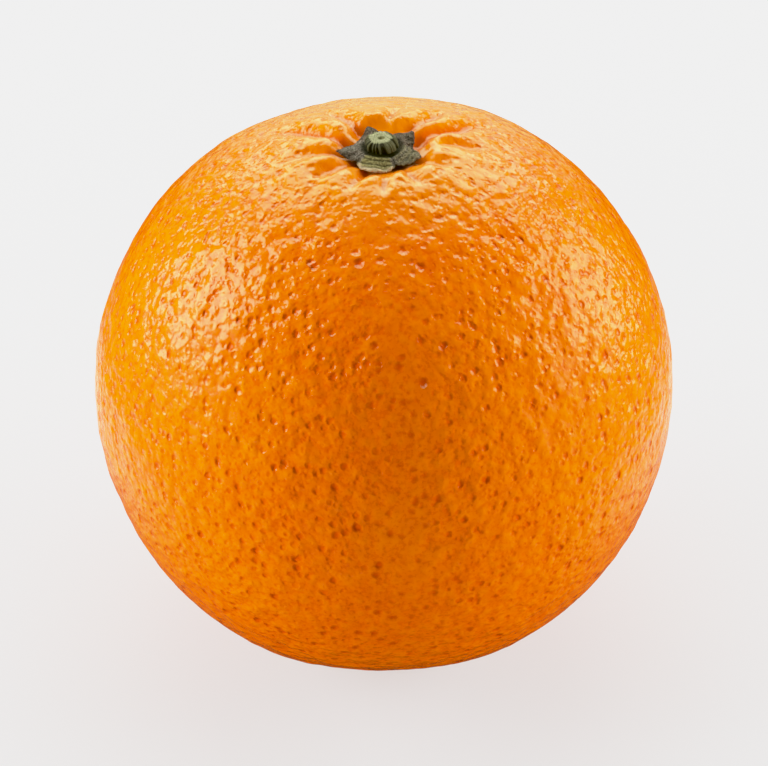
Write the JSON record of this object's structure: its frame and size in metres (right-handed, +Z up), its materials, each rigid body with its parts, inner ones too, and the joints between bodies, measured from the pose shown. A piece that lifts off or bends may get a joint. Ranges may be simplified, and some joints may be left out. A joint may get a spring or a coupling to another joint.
{
  "type": "orange",
  "caption": "Whole ripe orange standing on its blossom end, with pitted peel, a furrowed dimple, a dry star of sepals and a short cut stub of stem.",
  "frame": {"origin": "middle of the flat spot at the blossom end, on the surface that the fruit rests on", "axes": "+Z up through the fruit's core line to the stem; -Y faces the side where the blunt, torn sepal points"},
  "size_m": [0.0758, 0.0758, 0.0756],
  "materials": {
    "peel": "waxy orange peel, pitted with oil glands, satin with small bright glints",
    "dry_sepal": "dry grey-brown sepal, fibrous and matt, darker at its curled tips",
    "cut_stem": "dry olive stem, ribbed and matt, with a pale yellow-green cut face"
  },
  "bodies": {
    "root": {"fruit": "peel", "calyx": "dry_sepal", "stem_stub": "cut_stem"}
  },
  "joints": []
}
